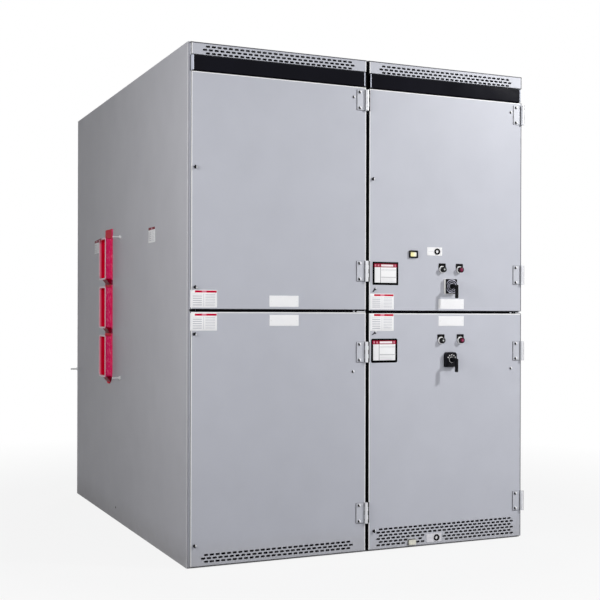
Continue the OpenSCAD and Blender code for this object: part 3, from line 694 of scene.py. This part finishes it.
def ruled(across, up, rows, left, right, low, high):
    """Thin lines, rows of them to the card's height, inside a box."""
    line = 1 - (up * rows).math("FRACT", up * rows).above(0.34, 0.2)
    return line * box(across, up, left, right, low, high)


def card_end(where, tone):
    """A laminated card: slightly scuffed, with a soft gloss."""
    scuff = where.noise(120, 4)
    close(where, {"Base Color": tone, "Roughness": 0.34 + scuff * 0.2, "Specular IOR Level": 0.04},
          scuff, 0.00003)


print("card drawing ready")

# %% [markdown]
# The small card has a strip of colour along its top and two columns of ruled lines. A line is the
# lowest third of each step of a rising count, so one sum draws a whole column of them.

# %% Make the ruled card
def ruled_card(name, strip, strip_left, strip_low=0.855, strip_high=0.97):
    """White card with a coloured strip near its top edge and two ruled columns."""
    material, where, across, up = card_start(name)
    lines = ruled(across, up, 8, 0.09, 0.43, 0.1, 0.76)
    lines = lines.most(ruled(across, up, 11, 0.56, 0.93, 0.1, 0.76) * 0.8)
    lines = lines.most(across.between(0.49, 0.502, 0.01) * up.between(0.08, 0.78, 0.02))
    tone = (lines * 0.8).pick(shade(253, 253, 254), shade(172, 173, 184))
    head = box(across, up, strip_left, 0.985, strip_low, strip_high)
    blank = box(across, up, 0.43, 0.6, 0.84, 0.98)
    tone = head.pick(tone, strip)
    card_end(where, (head * blank * 0.5).pick(tone, shade(250, 190, 210)))
    return material


info_card = ruled_card("info_card", shade(200, 0, 54), 0.165, 0.845, 0.965)
side_card_finish = ruled_card("side_card_finish", shade(112, 0, 30), -0.1, 0.83, 1.1)
print("ruled cards", info_card.name, side_card_finish.name)

# %% [markdown]
# The larger card is drawn the same way, from the ruled lines out to the border. Each later box is
# laid over the earlier ones, as a printer lays one ink over another.

# %% Make the bordered card
bordered_card, where, across, up = card_start("bordered_card")
lines = across.between(0.295, 0.315, 0.012) * up.between(0.05, 0.76, 0.02)
lines = lines.most(ruled(across, up, 30, 0.33, 0.9, 0.61, 0.68) * 0.6)
lines = lines.most(box(across, up, 0.33, 0.9, 0.325, 0.35) * 0.7)
lines = lines.most(ruled(across, up, 14, 0.33, 0.86, 0.1, 0.3) * 0.25)
tone = (lines * 0.8).pick(shade(253, 253, 254), shade(90, 90, 100))
inside = box(across, up, 0.08, 0.92, 0.1, 0.8)
tone = inside.pick(shade(0, 0, 1), tone)
tone = box(across, up, 0.05, 0.95, 0.765, 0.92, 0.02).pick(tone, shade(150, 0, 40))
tone = box(across, up, 0.33, 0.8, 0.8, 0.885, 0.02).pick(tone, shade(248, 236, 240))
pale = box(across, up, 0.09, 0.14, 0.8, 0.89, 0.03).most(box(across, up, 0.2, 0.26, 0.8, 0.88, 0.03))
pale = pale.most(box(across, up, 0.85, 0.9, 0.8, 0.89, 0.03))
card_end(where, (pale * 0.7).pick(tone, shade(240, 170, 190)))
print("bordered card", bordered_card.name)

# %% [markdown]
# ## Cards on the doors and the side
# Each card is a plate 0.4 mm thick, with softly rounded corners. It rides on the body of the
# door that it is stuck to.

# %% Lay the cards
def lay_card(name, body, plane, spot, width, height, material, corner=2.0):
    """A thin card with its middle at the spot."""
    layers = [(0, 0), (0, 0.25), (0.25, 0.4)]
    rings = plate_rings(width, height, corner, layers)
    piece(name, rings, plane, [spot], body, material)


lay_card("upper_left_card", "upper_left_door_body", "front", on_doors(70.5, 1235.5), 129, 81, info_card)
lay_card("lower_left_card", "lower_left_door_body", "front", on_doors(70.5, 1129.5), 129, 81, info_card)
lay_card("upper_right_card", "upper_right_door_body", "front", on_doors(995, 1229), 132, 77, info_card)
lay_card("lower_right_card", "lower_right_door_body", "front", on_doors(995, 1127.5), 132, 86, info_card)
lay_card("upper_bordered_card", "upper_right_door_body", "front", on_doors(1014, 1367.5), 144, 114,
         bordered_card)
lay_card("lower_bordered_card", "lower_right_door_body", "front", on_doors(1008, 987), 147, 119,
         bordered_card, 9.0)
lay_card("side_card", "enclosure", "left", on_side(579, 1565), 118, 77, side_card_finish)
lay_card("rear_side_card", "enclosure", "left", on_side(1756, 1567.5), 112, 77, side_card_finish)

# %% [markdown]
# ## Blank name plates
# Under the door's middle and over the lower door's are two blank white laminate plates, held by a
# small rivet at each end. The plate has a bevelled edge, and the rivet a low dome.

# %% Make the name plates and their rivets
plate_white = moulded("plate_white", shade(254, 254, 255), shade(248, 248, 250), 0.3)
PLATE_W, PLATE_T, RIVET_SIDE = 150, 1.6, 66
dome = [(0, 0), (2.9, 0), (2.9, 0.3), (2.5, 0.9), (1.5, 1.4), (0, 1.6)]
for name, body, across, up, height in [
    ("upper_left_plate", "upper_left_door_body", 470, 1226.5, 53),
    ("lower_left_plate", "lower_left_door_body", 471, 1136, 52),
    ("upper_right_plate", "upper_right_door_body", 1392.5, 1219, 50),
    ("lower_right_plate", "lower_right_door_body", 1392.5, 1133, 50),
]:
    rings = plate_rings(PLATE_W, height, 2, [(0, 0), (0, 1.0), (0.8, PLATE_T)])
    piece(name, rings, "front", [on_doors(across, up)], body, plate_white)
    ends = [on_doors(across + side * RIVET_SIDE, up, PLATE_T) for side in (-1, 1)]
    piece(name + "_rivets", turned_rings(dome, 16), "front", ends, body, zinc)

# %% [markdown]
# ## Screw heads with a dark side
# Screws and buttons on the doors are bright, and the side that faces down and left, away from the
# main lamp, is painted shade, almost black. The card's UV map runs over every copy of a shape, so
# a slanting line through it parts the two sides on all of them at once.

# %% Make the two-sided finish
head_finish, where, across, up = card_start("head_finish")
# Painted shade: the side of every head that faces down and left is drawn almost black.
lit_side = (across + up * 0.45).above(0.7, 0.1)
grain = where.noise(900, 2)
close(where, {"Base Color": lit_side.pick(shade(6, 6, 9), shade(252, 252, 254)),
              "Roughness": 0.34 + grain * 0.16, "Specular IOR Level": 0.2}, grain, 0.00003)
print("heads", head_finish.name)

# %% [markdown]
# ## Latches
# Each door closes with two quarter-turn latches at its left edge. A latch is a low turned collar
# with a thin wing to grip, and a bright rivet beside it that stops its turn. Most wings stand a
# little off upright. Two are longer and thinner, and slant down to the left of their rivet: these
# two dark wings lie where the rivets' shadows fall and stand in for them, a painted shadow.

# %% Make the latches
collar = [(0, 0), (6.0, 0), (6.0, 1.2), (5.2, 2.2), (3.4, 2.6), (3.0, 5), (0, 5)]
rivet = [(0, 0), (3.8, 0), (3.8, 2.0), (2.8, 3.4), (0, 3.8)]
tall_rivet = [(0, 0), (4.4, 0), (4.4, 6.6), (3.4, 7.6), (0, 8)]
upright = [
    ("upper_left_door_body", 27, 1836, 8, 7, 0), ("upper_left_door_body", 27, 1288, 0, 9, -2),
    ("lower_left_door_body", 24, 1074, -32, 9, -3), ("lower_left_door_body", 27, 107, 10, 8, 0),
    ("upper_right_door_body", 941, 1829, -6, 8, 1), ("lower_right_door_body", 951, 103, 0, 8, 1),
]
slanting = [("upper_right_door_body", 958, 1294, -40), ("lower_right_door_body", 959, 1080, -52)]
slant_reach = 13
for number, (body, across, up, turn, beside, over) in enumerate(upright):
    spot = [on_doors(across, up)]
    piece(f"latch_collar_{number}", turned_rings(collar), "front", spot, body, dark_steel)
    wing = pillow_rings((2.6, 9.0, 4.5), 8.0, 0.45, turn)
    piece(f"latch_wing_{number}", wing, "front", spot, body, black_plastic)
    piece(f"latch_rivet_{number}", turned_rings(rivet, 16), "front", [on_doors(across + beside, up + over)],
          body, zinc)
for number, (body, across, up, turn) in enumerate(slanting, len(upright)):
    spot = [on_doors(across, up)]
    c, s = math.cos(math.radians(turn)), math.sin(math.radians(turn))
    # Painted shadow: the thin dark wing lies down and to the left of its rivet, where its shadow falls.
    wing = pillow_rings((1.7, 12.0, 3.0), 3.2, 0.45, turn)
    middle = on_doors(across + s * slant_reach, up - c * slant_reach)
    piece(f"latch_wing_{number}", wing, "front", [middle], body, dark_steel)
    piece(f"latch_collar_{number}", turned_rings(collar), "front", [on_doors(across - 1.5, up - 4)], body,
          dark_steel)
    piece(f"latch_rivet_{number}", turned_rings(tall_rivet, 16), "front", spot, body,
          stop_white)

# %% [markdown]
# ## Bolts and buttons
# Two round-headed bolts hold every hinge leaf on its door, near its outer corners. They stand well
# proud, so that each throws a small shadow. A round button sits near the upper hinge of the upper
# doors and below the upper hinge of the lower ones.

# %% Make the bolts and buttons
head = [(0, 0), (7.4, 0), (7.4, 4.0), (6.4, 5.2), (0, 5.6)]
button = [(0, 0), (7.0, 0), (7.0, 2.8), (6.0, 3.8), (0, 4.0)]
LEAF_T, BOLT_IN, BOLT_RISE = 3.0, 17, 38.5
for name, across, up in [("upper_left", 838, 2223), ("lower_left", 836, 888),
                         ("upper_right", 1752, 2219), ("lower_right", 1755, 888)]:
    body = name + "_door_body"
    low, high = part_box(name + "_hinge_leaves")
    middles = np.array([low.z + HINGE / 2, high.z - HINGE / 2]) / MM
    ups = (middles[:, None] + np.array([-BOLT_RISE, BOLT_RISE])).ravel()
    spots = [on_doors((low.x - side_x) / MM + BOLT_IN, height, LEAF_T) for height in ups]
    piece(name + "_leaf_bolts", turned_rings(head, 12), "front", spots, body, head_finish)
    piece(name + "_button", turned_rings(button, 16), "front", [on_doors(across, up)], body,
          head_finish)

# %% [markdown]
# ## Stops in the seam
# Near the hinge side a narrow pale tab and a longer pad stand on top of each lower door, in the
# seam. They are rounded blocks, so a pillow with a low power does.

# %% Make the stops
for name, half in [("lower_left", 23), ("lower_right", 15)]:
    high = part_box(name + "_door")[1]
    right_edge, top = (high.x - side_x) / MM, high.z / MM
    tab = pillow_rings((2.8, 3.4, 5), -6, 0.25)
    piece(name + "_seam_tab", tab, "front", [on_doors(right_edge - 64, top + 2.8)], name + "_door_body",
          stop_white)
    pad = pillow_rings((half, 2.6, 5), -7, 0.25)
    piece(name + "_seam_pad", pad, "front", [on_doors(right_edge - half - 2, top + 2.0)], name + "_door_body",
          stop_white)

# %% [markdown]
# ## The lit pane
# The indicator window has a pale yellow pane deep in its bezel, lit from behind. It is a shallow
# pillow, brighter and whiter towards its right end, with a little light of its own.

# %% Make the pane
pane_glow, where, across, up = card_start("pane_glow")
bright = across.above(0.7, 0.5)
tone = bright.pick(shade(247, 240, 176), shade(255, 254, 246))
soft_mark = box(across, up, 0.2, 0.72, 0.44, 0.56, 0.1) * 0.3
tone = soft_mark.pick(tone, shade(236, 196, 178))
close(where, {"Base Color": tone, "Emission Color": tone, "Emission Strength": 0.22,
              "Roughness": 0.2 + where.noise(200, 2) * 0.1}, where.noise(500, 2), 0.00003)
low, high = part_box("indicator_window")
spot = ((low.x + high.x) / 2, face_y, (low.z + high.z) / 2)
piece("window_pane", pillow_rings((18.8, 11.3, 1.4), 2.2, 0.3, steps=40), "front", [spot],
      "upper_right_door_body", pane_glow)

# %% [markdown]
# ## Bolts on the rear and a plug on the side
# The rear covers are bolted on along both edges. A bolt here is a round washer under a six-sided
# head, so it is two turned shapes, the second with only six steps. A small plug closes a hole low
# on the left side.

# %% Make the bolts and the plug
washer = [(0, 0), (9, 0), (9, 1.0), (8.4, 1.6), (0, 1.6)]
hexagon = [(0, 1.0), (7.4, 1.0), (7.4, 5.6), (6.4, 6.4), (0, 6.4)]
EDGE_IN, END_IN, BOLTS_UP = 0.022, 0.07, 4
spots = []
for section in ("left", "right"):
    for height in ("upper", "lower"):
        low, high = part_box(f"{section}_{height}_rear_cover")
        across, up = np.meshgrid([low.x + EDGE_IN, high.x - EDGE_IN],
                                 np.linspace(low.z + END_IN, high.z - END_IN, BOLTS_UP))
        spots += np.stack([across, np.full(across.shape, rear_y), up], axis=-1).reshape(-1, 3).tolist()
piece("rear_washers", turned_rings(washer, 16), "rear", spots, "enclosure", zinc)
piece("rear_bolt_heads", turned_rings(hexagon, 6), "rear", spots, "enclosure", zinc)
plug = [(0, 0), (6, 0), (6, 0.6), (4.5, 1.2), (3.2, 0.7), (0, 0.6)]
piece("side_plug", turned_rings(plug, 16), "left", [on_side(1290, 70)], "enclosure",
      black_plastic)

# %% [markdown]
# ## Floor and surroundings
# The cabinet stands on a pale floor in a white room. The floor must look white but still take the
# cabinet's shadow, and it mustn't throw extra light on the steel. So only rays that the camera, a
# gloss or a glass sends out see the white; the rays that carry light see a plain pale floor. Near
# the cabinet a share of the plain floor stays in what is seen, and with it the shadow.

# %% Make the floor and the world
WHITE, COOL = (1, 1, 1, 1), (0.93, 0.96, 1, 1)
NEAR_SHARE, FADE_AT, FADE_OVER = 0.88, 3.0, 2.4
FLOOR_HALF, FLOOR_Z = 40.0, -0.0004


def seen(tree):
    """1 for a camera, glossy or transmission ray, and 0 for a ray that carries light."""
    rays = tree.nodes.new("ShaderNodeLightPath").outputs
    kinds = ("Is Camera Ray", "Is Glossy Ray", "Is Transmission Ray")
    camera_ray, gloss, through = (Socket(tree, rays[kind]) for kind in kinds)
    return camera_ray.most(gloss).most(through)


floor_white, where = begin("floor_white")
away = where.vector("LENGTH", (0, 0, 0), out=1)
plain = where.node("ShaderNodeBsdfPrincipled", None, {"Base Color": shade(186, 186, 188), "Roughness": 0.8})
glow = where.node("ShaderNodeEmission", None, {"Color": WHITE, "Strength": 1.0})
share = seen(where.tree) * (NEAR_SHARE + away.above(FADE_AT, FADE_OVER) * (1 - NEAR_SHARE))
where.node("ShaderNodeOutputMaterial", None,
           {"Surface": where.node("ShaderNodeMixShader", None, {0: share, 1: plain, 2: glow})})

mesh = bpy.data.meshes.new("floor")
corners = np.array([[-1, -1], [1, -1], [1, 1], [-1, 1]]) * FLOOR_HALF
mesh.from_pydata(np.column_stack([corners, np.full(4, FLOOR_Z)]).tolist(), [], [[0, 1, 2, 3]])
mesh.materials.append(floor_white)
floor = bpy.data.objects.new("floor", mesh)
bpy.context.scene.collection.objects.link(floor)

world = bpy.data.worlds.new("white_room")
bpy.context.scene.world = world
world.use_nodes = True
world.node_tree.nodes.clear()
mask = seen(world.node_tree)
dim = mask.node("ShaderNodeBackground", None, {"Color": COOL, "Strength": 0.05})
white = mask.node("ShaderNodeBackground", None, {"Color": WHITE, "Strength": 1.0})
mask.node("ShaderNodeOutputWorld", None,
          {"Surface": mask.node("ShaderNodeMixShader", None, {0: mask, 1: dim, 2: white})})
print("floor and world ready")

# %% [markdown]
# ## Lamps
# A small lamp stands high to the right of the front and throws the shadows that fall to the lower
# left. A larger, weak one in front, a little above mid height, fills them, and a third one off the
# left side lights the side sheet and fades towards the rear. The last keeps the rear from going
# black. The front and rear lamps are hidden from glossy rays, so that no face mirrors them.

# %% Set the lamps
def area_lamp(name, place, aim, size, watts):
    """A square lamp of this size, facing from its place to the aim."""
    lamp = bpy.data.lights.new(name, "AREA")
    lamp.size, lamp.energy = size, watts
    made = bpy.data.objects.new(name, lamp)
    bpy.context.scene.collection.objects.link(made)
    turn = (Vector(place) - Vector(aim)).to_track_quat("Z", "Y").to_matrix().to_4x4()
    made.matrix_world = Matrix.Translation(place) @ turn
    made.visible_camera = False
    return made


area_lamp("key_lamp", (3.05, -3.85, 3.43), (0, -1.1, 1.3), 0.3, 120)
area_lamp("side_lamp", (-3.3, -2.5, 2.1), (-0.9, -0.6, 1.9), 1.4, 54)
area_lamp("front_lamp", (0.8, -4.0, 1.5), (0.3, -1.1, 1.4), 1.6, 25).visible_glossy = False
area_lamp("rear_lamp", (2.5, 6.5, 3.2), (0, 1.1, 1.2), 2.5, 160).visible_glossy = False

# %% [markdown]
# ## The view transform
# Colours are shown through the Standard view transform.

# %% Set the view transform
bpy.context.scene.view_settings.view_transform = "Standard"
